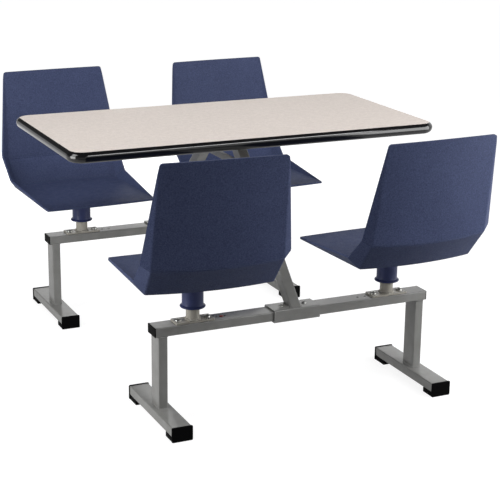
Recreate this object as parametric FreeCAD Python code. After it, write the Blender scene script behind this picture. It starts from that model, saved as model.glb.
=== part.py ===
import FreeCAD, Part
import math
import os

# Cluster table for a canteen: a laminate table top on a steel frame that also carries four swivel
# seats. Millimetres, +Z up, X along the table, -Y is the front. The origin is on the floor under
# the middle of the table top.

V = FreeCAD.Vector

# ---------------------------------------------------------------- table top
top_length = 1219.0            # over the edge band
top_width = 610.0
top_height = 760.0             # floor to laminate
top_corner_radius = 50.0       # plan radius over the edge band
laminate_thickness = 1.2
core_thickness = 29.8
backer_thickness = 1.0
edge_band_depth = 11.0         # how far the moulding stands out of the core
tongue_depth = 10.0            # barb of the edge moulding inside the core
tongue_thickness = 2.0
tongue_clearance = 0.1

# ---------------------------------------------------------------- rails under the top
rail_length = 800.0
rail_y = 100.0                 # rail axis from the table's centre line
rail_web = 60.0                # flat that carries the strut
rail_depth = 25.0              # table underside to web
rail_flange = 22.0
rail_gauge = 3.0
rail_end_inset = 40.0          # from a rail's end to its last screw
rail_screws_each_way = 2       # either side of the middle one
rail_screw_radius = 2.2
rail_screw_head_radius = 4.8
rail_screw_head_height = 2.6
rail_screw_bite = 18.0         # thread length inside the top
rail_screw_clearance = 0.15

# ---------------------------------------------------------------- frame tube
tube_wide = 60.0
tube_high = 28.0
tube_wall = 2.5
tube_corner = 3.0              # outside corner radius
beam_y = 508.0                 # beam axis from the table's centre line
beam_top = 290.0
beam_half_length = 445.5
beam_middle_gap = 6.0          # between the two tube ends inside the sleeve

sleeve_length = 150.0
sleeve_wall = 5.0
sleeve_clearance = 0.2
sleeve_corner = 4.0
sleeve_bolt_x = 38.0
sleeve_bolt_radius = 4.0
sleeve_bolt_head_radius = 7.0
sleeve_bolt_head_height = 4.5
sleeve_nut_flats = 13.0
sleeve_nut_height = 6.5
sleeve_bolt_end_inset = 1.0    # the shank stops this far inside the sleeve's lower wall

bolt_hole_clearance = 0.5
thread_clearance = 0.1

# ---------------------------------------------------------------- legs and feet
leg_x = 424.0
foot_length = 352.0            # over the foot caps
foot_top = 43.0                # top of the foot tube
cap_plate = 5.0                # end plate of the foot cap
cap_overlap = 2.0              # how far the plate stands past the tube, at the sides and above
cap_corner = 4.0
pad_length = 56.0              # sole under the tube, with the plate
pad_inset = 0.5                # sole inside the tube's sides
cap_tongue_length = 22.0       # part of the cap inside the tube

# ---------------------------------------------------------------- struts and tie bar
strut_wide = 34.5
strut_deep = 37.5
strut_wall = 2.5
strut_corner = 4.0
tie_drop = 53.0                # from the rails down to the tie bar
tie_height = 21.0
tie_thickness = 10.0

# ---------------------------------------------------------------- plugs and spare holes
plug_wall = 2.0
plug_depth = 16.0
plug_flange = 2.5              # rim over the tube's end
plug_flange_corner = 2.0
plug_clearance = 0.2
spare_hole_radius = 4.0
spare_hole_outer_x = 246.0
spare_hole_inner_x = 221.0
red_plug_x = 231.5
red_plug_radius = 5.0
red_plug_head_radius = 6.2
red_plug_head_height = 1.6
red_plug_depth = 12.0
red_plug_clearance = 0.15

# ---------------------------------------------------------------- seat posts
post_x = 321.0
plate_length = 120.0
plate_width = 50.0
plate_thickness = 5.0
plate_corner = 4.0
plate_bolt_x = 45.0            # from the post axis
plate_bolt_radius = 5.0
plate_bolt_head_radius = 10.0
plate_bolt_head_height = 5.0
plate_nut_flats = 17.0
plate_nut_height = 8.0
bolt_end_length = 4.0          # shank standing out below the beam
stub_radius = 20.0
stub_height = 35.5             # above the plate
weld_size = 4.0
thrust_thickness = 1.5
thrust_radius = 20.8
thrust_bore_clearance = 0.3
seat_end_play = 0.1            # between the thrust washer and the housing
spindle_radius = 14.0
spindle_clearance = 0.05       # running fit in the bush

# ---------------------------------------------------------------- seat swivel
swivel_half_range = 90.0       # each way from facing the table
stop_relief = 0.5              # degrees left before the stops touch
stop_dog_angle = 30.0
bush_wall = 2.0
bush_fit = 0.02
housing_wall = 5.5             # below the stop chamber
chamber_depth = 14.0
chamber_radius = 23.0
chamber_wall = 4.0
stop_washer_thickness = 4.0
stop_washer_radius = 18.0
stop_gap = 0.5                 # radial room round the dog and the lug
key_flats = 14.0
key_height = 3.6
key_clearance = 0.1
axle_screw_radius = 4.0
axle_screw_length = 18.0
axle_screw_head_radius = 9.5
axle_screw_head_height = 4.6
cup_radius = 31.5
cup_wall = 2.0
cup_lip_out = 6.0
cup_lip_height = 6.0
cup_flange_out = 8.5
cup_flange_height = 3.0
bracket_side = 150.0
bracket_thickness = 5.0
bracket_corner = 12.0
bracket_screw_pitch = 120.0
bracket_screw_radius = 3.0
bracket_screw_head_radius = 6.0
bracket_screw_head_height = 3.4
bracket_screw_bite = 4.0

# ---------------------------------------------------------------- seat shell, about the post axis
# Half widths are sideways, setbacks are behind the post, rises are above the pan.
seat_height = 438.0            # floor to the top of the pan
shell_thickness = 6.0
pan_front_half = 192.3
pan_front_reach = 209.4
pan_front_bow = 5.7
pan_back_half = 187.4
pan_back_setback = 148.2
pan_back_bow = 21.6
lumbar_half = 191.4
lumbar_setback = 215.6
lumbar_rise = 86.8
lumbar_bow = 24.4
lumbar_dip = 4.8
back_half = 181.0
back_setback = 264.5
back_rise = 388.2
back_bow = 3.1
wing_half = 216.4
wing_setback = 199.0
wing_rise = 102.5
low_wing_half = 212.2
low_wing_setback = 121.3
low_wing_rise = 30.8
back_corner_radius = 11.0
pan_corner_radius = 5.0

# how far each seat is turned from facing the table, in degrees about +Z
turn_front_left = -3.5
turn_front_right = 2.0
turn_back_left = 2.0
turn_back_right = 2.8

# ---------------------------------------------------------------- what follows from the sizes
top_thickness = laminate_thickness + core_thickness + backer_thickness
top_under = top_height - top_thickness
core_top = top_height - laminate_thickness
core_under = top_under + backer_thickness
rail_under = top_under - rail_depth
rail_screw_pitch = (rail_length / 2.0 - rail_end_inset) / rail_screws_each_way
beam_bottom = beam_top - tube_high
sleeve_top = beam_top + sleeve_clearance + sleeve_wall
sleeve_bottom = beam_bottom - sleeve_clearance - sleeve_wall
strut_lean = (beam_y - rail_y) / (rail_under - sleeve_top)
strut_slant = math.sin(math.atan2(1.0, strut_lean))
strut_level_depth = strut_deep / strut_slant
tie_top = rail_under - tie_drop
tie_bottom = tie_top - tie_height
plate_top = beam_top + plate_thickness
stub_top = plate_top + stub_height
housing_bottom = stub_top + thrust_thickness + seat_end_play
pan_mid = seat_height - shell_thickness / 2.0
pan_under = seat_height - shell_thickness
bracket_under = pan_under - bracket_thickness
bush_bore = spindle_radius + spindle_clearance
bush_radius = bush_bore + bush_wall
housing_bore = bush_radius + bush_fit
housing_radius = housing_bore + housing_wall
chamber_floor = bracket_under - chamber_depth
spindle_top = chamber_floor + seat_end_play
stop_reach = chamber_radius - stop_gap
dog_inner = stop_washer_radius + stop_gap
stop_lug_angle = 360.0 - 2.0 * swivel_half_range - stop_dog_angle - 2.0 * stop_relief

os.makedirs("parts", exist_ok=True)


def save(name, shape):
    shape.exportStep("parts/%s.step" % name)


def block(x0, x1, y0, y1, z0, z1):
    return Part.makeBox(x1 - x0, y1 - y0, z1 - z0, V(x0, y0, z0))


def rod(x, y, z0, z1, radius):
    return Part.makeCylinder(radius, z1 - z0, V(x, y, z0))


def edges_along(shape, direction):
    found = []
    for edge in shape.Edges:
        run = edge.Vertexes[-1].Point - edge.Vertexes[0].Point
        if run.Length > 0.1 and abs(run.dot(direction)) > 0.999 * run.Length:
            found.append(edge)
    return found


def rounded(shape, radius, direction):
    """Round the straight edges that run along one direction."""
    return shape.makeFillet(radius, edges_along(shape, direction))


def slab(half_x, half_y, radius, z0, z1):
    """Flat plate with rounded corners in plan, centred on the Z axis."""
    return rounded(block(-half_x, half_x, -half_y, half_y, z0, z1), radius, V(0, 0, 1))


def tube_x(x0, x1, y, z0, wide, high, wall, corner):
    outer = block(x0, x1, y - wide / 2.0, y + wide / 2.0, z0, z0 + high)
    inner = block(x0 - 1.0, x1 + 1.0, y - wide / 2.0 + wall, y + wide / 2.0 - wall,
                  z0 + wall, z0 + high - wall)
    return rounded(outer, corner, V(1, 0, 0)).cut(inner)


def tube_y(x, y0, y1, z0, wide, high, wall, corner):
    outer = block(x - wide / 2.0, x + wide / 2.0, y0, y1, z0, z0 + high)
    inner = block(x - wide / 2.0 + wall, x + wide / 2.0 - wall, y0 - 1.0, y1 + 1.0,
                  z0 + wall, z0 + high - wall)
    return rounded(outer, corner, V(0, 1, 0)).cut(inner)


def tube_z(x, y, z0, z1, size_x, size_y, wall, corner):
    outer = block(x - size_x / 2.0, x + size_x / 2.0, y - size_y / 2.0, y + size_y / 2.0, z0, z1)
    inner = block(x - size_x / 2.0 + wall, x + size_x / 2.0 - wall,
                  y - size_y / 2.0 + wall, y + size_y / 2.0 - wall, z0 - 1.0, z1 + 1.0)
    return rounded(outer, corner, V(0, 0, 1)).cut(inner)


def bolt(x, y, seat, up, length, shank_radius, head_radius, head_height):
    """Round-headed bolt: the head stands on the level `seat`, up (+1) or down (-1)."""
    crown = seat + up * head_height
    head = rod(x, y, min(seat, crown), max(seat, crown), head_radius)
    rim = [e for e in head.Edges if e.Closed and abs(e.Vertexes[0].Z - crown) < 0.01]
    head = head.makeFillet(0.8 * head_height, rim)
    tip = seat - up * length
    return head.fuse(rod(x, y, min(seat, tip), max(seat, tip), shank_radius))


def hex_nut(x, y, z0, height, flats, bore):
    reach = flats / 2.0 / math.cos(math.radians(30.0))
    points = []
    for i in range(7):
        angle = math.radians(60.0 * i)
        points.append(V(x + reach * math.cos(angle), y + reach * math.sin(angle), z0))
    body = Part.Face(Part.makePolygon(points)).extrude(V(0, 0, height))
    return body.cut(rod(x, y, z0 - 1.0, z0 + height + 1.0, bore))


def sector(z0, z1, radius, inner, middle, span):
    """Part of a ring about the Z axis, `span` degrees wide about the direction `middle`."""
    wedge = Part.makeCylinder(radius, z1 - z0, V(0, 0, z0), V(0, 0, 1), span)
    wedge.rotate(V(0, 0, 0), V(0, 0, 1), middle - span / 2.0)
    return wedge.cut(rod(0, 0, z0 - 1.0, z1 + 1.0, inner))


# ---------------------------------------------------------------- table top
core_half_x = top_length / 2.0 - edge_band_depth
core_half_y = top_width / 2.0 - edge_band_depth
core_corner = top_corner_radius - edge_band_depth


def rail_screw_places():
    """Screws alternate between the two flanges of each rail."""
    places = []
    for side in (-1, 1):
        for i in range(-rail_screws_each_way, rail_screws_each_way + 1):
            offset = rail_web / 2.0 + rail_flange / 2.0
            if i % 2:
                offset = -offset
            places.append((i * rail_screw_pitch, side * (rail_y + offset)))
    return places


def table_core():
    core = slab(core_half_x, core_half_y, core_corner, core_under, core_top)
    middle = (top_height + top_under) / 2.0
    half_slot = tongue_thickness / 2.0 + tongue_clearance
    reach = tongue_depth + tongue_clearance
    ring = slab(core_half_x, core_half_y, core_corner, middle - half_slot, middle + half_slot)
    ring = ring.cut(slab(core_half_x - reach, core_half_y - reach, core_corner - reach,
                         middle - half_slot, middle + half_slot))
    core = core.cut(ring)
    for x, y in rail_screw_places():
        core = core.cut(rod(x, y, core_under - 1.0, top_under + rail_screw_bite + rail_screw_clearance,
                            rail_screw_radius + rail_screw_clearance))
    return core


def table_backer():
    sheet = slab(core_half_x, core_half_y, core_corner, top_under, core_under)
    for x, y in rail_screw_places():
        sheet = sheet.cut(rod(x, y, top_under - 1.0, core_under + 1.0,
                              rail_screw_radius + rail_screw_clearance))
    return sheet


def band_profile(centre, outward):
    """Rounded moulding and its tongue, in the upright plane through a corner's centre."""
    middle = (top_height + top_under) / 2.0
    half = top_thickness / 2.0
    tongue = tongue_thickness / 2.0

    def at(out, up):
        return centre + outward * (core_corner + out) + V(0, 0, middle + up)
    nose = Part.Arc(at(0, half), at(edge_band_depth, 0), at(0, -half))
    back = Part.makePolygon([at(0, -half), at(0, -tongue), at(-tongue_depth, -tongue),
                             at(-tongue_depth, tongue), at(0, tongue), at(0, half)])
    return Part.Face(Part.Wire([nose.toShape()] + back.Edges))


def edge_band():
    reach_x = top_length / 2.0 - top_corner_radius
    reach_y = top_width / 2.0 - top_corner_radius
    centres = [V(reach_x, reach_y, 0), V(-reach_x, reach_y, 0), V(-reach_x, -reach_y, 0),
               V(reach_x, -reach_y, 0)]
    facing = [V(1, 0, 0), V(0, 1, 0), V(-1, 0, 0), V(0, -1, 0)]
    pieces = []
    for i in range(4):
        here = centres[i]
        pieces.append(band_profile(here, facing[i]).revolve(here, V(0, 0, 1), 90.0))
        pieces.append(band_profile(here, facing[(i + 1) % 4]).extrude(centres[(i + 1) % 4] - here))
    return pieces[0].fuse(pieces[1:]).removeSplitter()


# ---------------------------------------------------------------- rails, struts and tie bar
def top_rail(side):
    """Hat section with its web down and its flanges screwed to the top."""
    web = rail_web / 2.0
    rim = web + rail_flange
    y = side * rail_y
    outline = [(-rim, top_under), (-web + rail_gauge, top_under),
               (-web + rail_gauge, rail_under + rail_gauge), (web - rail_gauge, rail_under + rail_gauge),
               (web - rail_gauge, top_under), (rim, top_under),
               (rim, top_under - rail_gauge), (web, top_under - rail_gauge),
               (web, rail_under), (-web, rail_under),
               (-web, top_under - rail_gauge), (-rim, top_under - rail_gauge)]
    points = [V(-rail_length / 2.0, y + across, z) for across, z in outline + outline[:1]]
    rail = Part.Face(Part.makePolygon(points)).extrude(V(rail_length, 0, 0))
    for x, hole_y in rail_screw_places():
        if hole_y * side > 0:
            rail = rail.cut(rod(x, hole_y, rail_under - 1.0, top_under + 1.0,
                                rail_screw_radius + bolt_hole_clearance))
    return rail


def top_screws():
    seat = top_under - rail_gauge
    return Part.makeCompound([bolt(x, y, seat, -1, rail_gauge + rail_screw_bite, rail_screw_radius,
                                   rail_screw_head_radius, rail_screw_head_height)
                              for x, y in rail_screw_places()])


def slanted_bar(side, low, high, wide, level_depth):
    """Bar that leans inwards, cut level at both ends."""
    foot_y = side * (beam_y - (low - sleeve_top) * strut_lean)
    head_y = side * (beam_y - (high - sleeve_top) * strut_lean)
    half = level_depth / 2.0
    points = [V(-wide / 2.0, foot_y - half, low), V(-wide / 2.0, foot_y + half, low),
              V(-wide / 2.0, head_y + half, high), V(-wide / 2.0, head_y - half, high),
              V(-wide / 2.0, foot_y - half, low)]
    return Part.Face(Part.makePolygon(points)).extrude(V(wide, 0, 0))


def strut(side):
    lean = V(0, -side * strut_lean, 1.0).normalize()
    outer = rounded(slanted_bar(side, sleeve_top, rail_under, strut_wide, strut_level_depth),
                    strut_corner, lean)
    hollow_depth = (strut_deep - 2.0 * strut_wall) / strut_slant
    return outer.cut(slanted_bar(side, sleeve_top - 1.0, rail_under + 1.0,
                                 strut_wide - 2.0 * strut_wall, hollow_depth))


def tie_bar():
    """Flat bar on edge, mitred against the under sides of the two struts."""
    def reach(z):
        return beam_y - (z - sleeve_top) * strut_lean - strut_level_depth / 2.0
    points = [V(-tie_thickness / 2.0, -reach(tie_bottom), tie_bottom),
              V(-tie_thickness / 2.0, reach(tie_bottom), tie_bottom),
              V(-tie_thickness / 2.0, reach(tie_top), tie_top),
              V(-tie_thickness / 2.0, -reach(tie_top), tie_top),
              V(-tie_thickness / 2.0, -reach(tie_bottom), tie_bottom)]
    return Part.Face(Part.makePolygon(points)).extrude(V(tie_thickness, 0, 0))


# ---------------------------------------------------------------- beams and sleeves
def sleeve(side):
    box_wide = tube_wide + 2.0 * (sleeve_clearance + sleeve_wall)
    shape = tube_x(-sleeve_length / 2.0, sleeve_length / 2.0, side * beam_y, sleeve_bottom,
                   box_wide, sleeve_top - sleeve_bottom, sleeve_wall, sleeve_corner)
    for x in (-sleeve_bolt_x, sleeve_bolt_x):
        shape = shape.cut(rod(x, side * beam_y, sleeve_bottom - 1.0, sleeve_top + 1.0,
                              sleeve_bolt_radius + bolt_hole_clearance))
    return shape


def beam(end, side):
    """One half of a floor beam; end is -1 on the left, +1 on the right."""
    near = beam_middle_gap / 2.0
    x0 = min(end * near, end * beam_half_length)
    x1 = max(end * near, end * beam_half_length)
    y = side * beam_y
    shape = tube_x(x0, x1, y, beam_bottom, tube_wide, tube_high, tube_wall, tube_corner)
    through = [(sleeve_bolt_x, sleeve_bolt_radius), (post_x - plate_bolt_x, plate_bolt_radius),
               (post_x + plate_bolt_x, plate_bolt_radius)]
    for x, radius in through:
        shape = shape.cut(rod(end * x, y, beam_bottom - 1.0, beam_top + 1.0,
                              radius + bolt_hole_clearance))
    spare_low = beam_top - tube_high / 2.0
    for x in (spare_hole_inner_x, spare_hole_outer_x):
        shape = shape.cut(rod(end * x, y, spare_low, beam_top + 1.0, spare_hole_radius))
    if end < 0 and side < 0:
        shape = shape.cut(rod(-red_plug_x, y, spare_low, beam_top + 1.0,
                              red_plug_radius + red_plug_clearance))
    return shape


def red_plug():
    return bolt(-red_plug_x, -beam_y, beam_top, 1, red_plug_depth, red_plug_radius,
                red_plug_head_radius, red_plug_head_height)


def sleeve_bolt_places():
    return [(x, side * beam_y) for side in (-1, 1) for x in (-sleeve_bolt_x, sleeve_bolt_x)]


def sleeve_bolts():
    length = sleeve_top - sleeve_bottom - sleeve_bolt_end_inset
    return Part.makeCompound([bolt(x, y, sleeve_top, 1, length, sleeve_bolt_radius,
                                   sleeve_bolt_head_radius, sleeve_bolt_head_height)
                              for x, y in sleeve_bolt_places()])


def sleeve_nuts():
    """Nuts welded inside the beam tubes, on their lower wall."""
    return Part.makeCompound([hex_nut(x, y, beam_bottom + tube_wall, sleeve_nut_height,
                                      sleeve_nut_flats, sleeve_bolt_radius + thread_clearance)
                              for x, y in sleeve_bolt_places()])


def beam_end_plug(end, side):
    """Push-in plug: a hollow stub inside the tube and a thin rim over the tube's end."""
    half_y = tube_wide / 2.0 - tube_wall - plug_clearance
    half_z = tube_high / 2.0 - tube_wall - plug_clearance
    y = side * beam_y
    z = beam_top - tube_high / 2.0
    seat_x = end * beam_half_length
    face_x = end * (beam_half_length + plug_flange)
    inner_x = end * (beam_half_length - plug_depth)
    body = block(min(seat_x, inner_x), max(seat_x, inner_x), y - half_y, y + half_y,
                 z - half_z, z + half_z)
    hollow = block(min(inner_x - end, seat_x), max(inner_x - end, seat_x),
                   y - half_y + plug_wall, y + half_y - plug_wall,
                   z - half_z + plug_wall, z + half_z - plug_wall)
    rim = block(min(seat_x, face_x), max(seat_x, face_x), y - tube_wide / 2.0, y + tube_wide / 2.0,
                beam_bottom, beam_top)
    rim = rounded(rim, plug_flange_corner, V(1, 0, 0))
    return rim.fuse(body.cut(hollow))


# ---------------------------------------------------------------- legs and feet
def leg(end, side):
    return tube_z(end * leg_x, side * beam_y, foot_top, beam_bottom, tube_high, tube_wide,
                  tube_wall, tube_corner)


def foot(end, side):
    half = foot_length / 2.0 - cap_plate
    y = side * beam_y
    return tube_y(end * leg_x, y - half, y + half, foot_top - tube_high, tube_wide, tube_high,
                  tube_wall, tube_corner)


def foot_cap(end, side, way):
    """Plate over one end of a foot tube down to the floor, a sole under it, a tongue inside it."""
    x = end * leg_x
    tip = side * beam_y + way * foot_length / 2.0
    seat = tip - way * cap_plate
    half = tube_wide / 2.0 + cap_overlap
    plate = block(x - half, x + half, min(tip, seat), max(tip, seat), 0.0, foot_top + cap_overlap)
    plate = rounded(plate, cap_corner, V(0, 1, 0))
    heel = tip - way * pad_length
    half = tube_wide / 2.0 - pad_inset
    sole = block(x - half, x + half, min(seat, heel), max(seat, heel), 0.0, foot_top - tube_high)
    end_of_tongue = seat - way * cap_tongue_length
    half = tube_wide / 2.0 - tube_wall - plug_clearance
    tongue = block(x - half, x + half, min(seat, end_of_tongue), max(seat, end_of_tongue),
                   foot_top - tube_high + tube_wall + plug_clearance,
                   foot_top - tube_wall - plug_clearance)
    return plate.fuse([sole, tongue])


def foot_caps(side):
    return Part.makeCompound([foot_cap(end, side, way) for end in (-1, 1) for way in (-1, 1)])


# ---------------------------------------------------------------- seat posts
def post(end, side):
    x = end * post_x
    y = side * beam_y
    plate = slab(plate_length / 2.0, plate_width / 2.0, plate_corner, beam_top, plate_top)
    for bolt_x in (-plate_bolt_x, plate_bolt_x):
        plate = plate.cut(rod(bolt_x, 0, beam_top - 1.0, plate_top + 1.0,
                              plate_bolt_radius + bolt_hole_clearance))
    weld = Part.makeCone(stub_radius + weld_size, stub_radius, weld_size, V(0, 0, plate_top))
    key_half = key_flats / 2.0
    shape = plate.fuse([rod(0, 0, plate_top, stub_top, stub_radius), weld,
                        rod(0, 0, stub_top, spindle_top, spindle_radius),
                        block(-key_half, key_half, -key_half, key_half, spindle_top,
                              spindle_top + key_height)])
    shape = shape.cut(rod(0, 0, spindle_top + stop_washer_thickness - axle_screw_length - thread_clearance,
                          spindle_top + key_height + 1.0, axle_screw_radius + thread_clearance))
    shape.translate(V(x, y, 0))
    return shape


def thrust_washer(end, side):
    shape = rod(0, 0, stub_top, stub_top + thrust_thickness, thrust_radius)
    shape = shape.cut(rod(0, 0, stub_top - 1.0, stub_top + thrust_thickness + 1.0,
                          spindle_radius + thrust_bore_clearance))
    shape.translate(V(end * post_x, side * beam_y, 0))
    return shape


def stop_washer(end, side):
    """Keyed washer on the spindle; its lug points to the table and ends the swivel both ways."""
    z0 = spindle_top
    z1 = z0 + stop_washer_thickness
    shape = rod(0, 0, z0, z1, stop_washer_radius)
    shape = shape.fuse(sector(z0, z1, stop_reach, axle_screw_radius, -side * 90.0, stop_lug_angle))
    key_half = key_flats / 2.0 + key_clearance
    shape = shape.cut(block(-key_half, key_half, -key_half, key_half, z0 - 1.0, z1 + 1.0))
    shape.translate(V(end * post_x, side * beam_y, 0))
    return shape


def axle_screw(end, side):
    return bolt(end * post_x, side * beam_y, spindle_top + stop_washer_thickness, 1,
                axle_screw_length, axle_screw_radius, axle_screw_head_radius,
                axle_screw_head_height)


def plate_bolt_places():
    return [(end * post_x + x, side * beam_y) for side in (-1, 1) for end in (-1, 1)
            for x in (-plate_bolt_x, plate_bolt_x)]


def plate_bolts():
    length = plate_thickness + tube_high + bolt_end_length
    return Part.makeCompound([bolt(x, y, plate_top, 1, length, plate_bolt_radius,
                                   plate_bolt_head_radius, plate_bolt_head_height)
                              for x, y in plate_bolt_places()])


def plate_nuts():
    """Nuts welded inside the beam tubes, on their lower wall."""
    return Part.makeCompound([hex_nut(x, y, beam_bottom + tube_wall, plate_nut_height,
                                      plate_nut_flats, plate_bolt_radius + thread_clearance)
                              for x, y in plate_bolt_places()])


# ---------------------------------------------------------------- seat pieces, about the Z axis
def bracket_screw_places():
    half = bracket_screw_pitch / 2.0
    return [(-half, -half), (half, -half), (half, half), (-half, half)]


def bracket():
    """Plate under the pan with the bored housing; the dog in its chamber meets the stop lug."""
    wide_radius = chamber_radius + chamber_wall
    wide_bottom = chamber_floor - chamber_wall
    shape = slab(bracket_side / 2.0, bracket_side / 2.0, bracket_corner, bracket_under, pan_under)
    shape = shape.fuse([rod(0, 0, housing_bottom, wide_bottom, housing_radius),
                        rod(0, 0, wide_bottom, bracket_under, wide_radius)])
    shape = shape.cut(rod(0, 0, housing_bottom - 1.0, pan_under + 1.0, housing_bore))
    shape = shape.cut(rod(0, 0, chamber_floor, pan_under + 1.0, chamber_radius))
    dog = sector(chamber_floor, chamber_floor + stop_washer_thickness + seat_end_play,
                 chamber_radius + chamber_wall / 2.0, dog_inner, -90.0, stop_dog_angle)
    shape = shape.fuse(dog)
    for x, y in bracket_screw_places():
        shape = shape.cut(rod(x, y, bracket_under - 1.0, pan_under + 1.0,
                              bracket_screw_radius + bolt_hole_clearance))
    return shape.removeSplitter()


def bush():
    shape = rod(0, 0, housing_bottom, chamber_floor, bush_radius)
    return shape.cut(rod(0, 0, housing_bottom - 1.0, chamber_floor + 1.0, bush_bore))


def cup():
    """Round shroud over the housing, with a rolled lip below and a flange against the plate."""
    lip = rod(0, 0, housing_bottom, housing_bottom + cup_lip_height, cup_radius + cup_lip_out)
    lip = lip.makeFillet(0.45 * cup_lip_height, [e for e in lip.Edges if e.Closed])
    flange = rod(0, 0, bracket_under - cup_flange_height, bracket_under, cup_radius + cup_flange_out)
    shape = rod(0, 0, housing_bottom, bracket_under, cup_radius).fuse([lip, flange])
    return shape.cut(rod(0, 0, housing_bottom - 1.0, bracket_under + 1.0, cup_radius - cup_wall))


def bracket_screws():
    return Part.makeCompound([bolt(x, y, bracket_under, -1, bracket_thickness + bracket_screw_bite,
                                   bracket_screw_radius, bracket_screw_head_radius,
                                   bracket_screw_head_height)
                              for x, y in bracket_screw_places()])


# ---------------------------------------------------------------- seat shell
def facing_in(a, b, c):
    """Unit normal of the facet a, b, c on the sitter's side."""
    normal = (b - a).cross(c - a).normalize()
    if normal.dot(V(0, 0, pan_mid + back_rise / 2.0) - a) < 0:
        normal = normal * -1.0
    return normal


def half_wall(normals):
    """Step from the middle surface to the inner face at a point where these facets meet."""
    total = V(0, 0, 0)
    for normal in normals:
        total = total + normal
    total.normalize()
    share = sum(total.dot(normal) for normal in normals) / len(normals)
    return total * (shell_thickness / 2.0 / share)


def level(step):
    """The same step, as long as it takes to keep both faces of the pan flat."""
    return step * (shell_thickness / 2.0 / step.z)


def shell_points():
    """Corners of the middle surface on the right side, middles of its bowed folds, and the steps."""
    back = V(back_half, -back_setback, pan_mid + back_rise)
    lumbar = V(lumbar_half, -lumbar_setback, pan_mid + lumbar_rise)
    heel = V(pan_back_half, -pan_back_setback, pan_mid)
    front = V(pan_front_half, pan_front_reach, pan_mid)
    wing = V(wing_half, -wing_setback, pan_mid + wing_rise)
    low_wing = V(low_wing_half, -low_wing_setback, pan_mid + low_wing_rise)
    back_0 = V(0, -back_setback - back_bow, back.z)
    lumbar_0 = V(0, -lumbar_setback - lumbar_bow, lumbar.z - lumbar_dip)
    heel_0 = V(0, -pan_back_setback - pan_back_bow, pan_mid)
    front_0 = V(0, pan_front_reach + pan_front_bow, pan_mid)
    across = V(1, 0, 0)
    pan_in = V(0, 0, 1)
    band_in = facing_in(lumbar, heel, heel_0)
    back_in = facing_in(back, lumbar, lumbar_0)
    band_in_0 = facing_in(lumbar_0, heel_0, heel_0 + across)
    back_in_0 = facing_in(back_0, lumbar_0, lumbar_0 + across)
    upper_in = facing_in(back, lumbar, wing)
    middle_in = facing_in(lumbar, heel, low_wing)
    lower_in = facing_in(heel, front, low_wing)
    places = {"back": back, "lumbar": lumbar, "heel": heel, "front": front, "wing": wing,
              "low_wing": low_wing, "back_0": back_0, "lumbar_0": lumbar_0, "heel_0": heel_0,
              "front_0": front_0}
    steps = {"back": half_wall([back_in, upper_in]),
             "lumbar": half_wall([back_in, band_in, upper_in, middle_in]),
             "heel": level(half_wall([pan_in, band_in, middle_in, lower_in])),
             "front": level(half_wall([pan_in, lower_in])),
             "wing": half_wall([upper_in, middle_in]),
             "low_wing": half_wall([middle_in, lower_in]),
             "back_0": half_wall([back_in_0]),
             "lumbar_0": half_wall([back_in_0, band_in_0]),
             "heel_0": level(half_wall([band_in_0, pan_in])),
             "front_0": half_wall([pan_in])}
    return places, steps


def mirrored(point, end):
    return V(end * point.x, point.y, point.z)


def bowed(points, name):
    """Fold or edge that runs from the left corner to the right one through its bowed middle."""
    return Part.Arc(mirrored(points[name], -1), points[name + "_0"], points[name]).toShape()


def straight(a, b):
    return Part.LineSegment(a, b).toShape()


def facet(a, b, c):
    return Part.Face(Part.makePolygon([a, b, c, a]))


def one_side_of_shell(points):
    """All the facets of the inner or the outer face."""
    folds = [bowed(points, name) for name in ("back", "lumbar", "heel", "front")]
    faces = [Part.makeRuledSurface(folds[i], folds[i + 1]) for i in range(2)]
    pan_sides = [straight(mirrored(points["heel"], end), mirrored(points["front"], end)) for end in (-1, 1)]
    faces.append(Part.Face(Part.Wire(Part.__sortEdges__([folds[2], folds[3]] + pan_sides))))
    for end in (-1, 1):
        back, lumbar, heel, front, wing, low_wing = [
            mirrored(points[name], end)
            for name in ("back", "lumbar", "heel", "front", "wing", "low_wing")]
        faces.append(facet(back, lumbar, wing))
        faces.append(Part.makeRuledSurface(straight(lumbar, heel), straight(wing, low_wing)))
        faces.append(facet(heel, front, low_wing))
    return faces


def corner_tool(corner, one, other, radius):
    """Prism that leaves a rounded corner of the outline between the edges to `one` and `other`."""
    u = (one - corner).normalize()
    w = (other - corner).normalize()
    spread = math.acos(u.dot(w))
    along = radius / math.tan(spread / 2.0)
    half_turn = (u + w).normalize()
    centre = corner + half_turn * (radius / math.sin(spread / 2.0))
    first = corner + u * along
    second = corner + w * along
    margin = 2.0 * shell_thickness
    out_1 = (first - centre).normalize() * margin
    out_2 = (second - centre).normalize() * margin
    tip = corner - half_turn * (margin / math.sin(spread / 2.0))
    arc = Part.Arc(second, centre - half_turn * radius, first).toShape()
    lines = Part.makePolygon([first, first + out_1, tip, second + out_2, second])
    face = Part.Face(Part.Wire(lines.Edges + [arc]))
    axis = u.cross(w).normalize()
    reach = 4.0 * shell_thickness
    face.translate(axis * -reach)
    return face.extrude(axis * (2.0 * reach))


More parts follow.
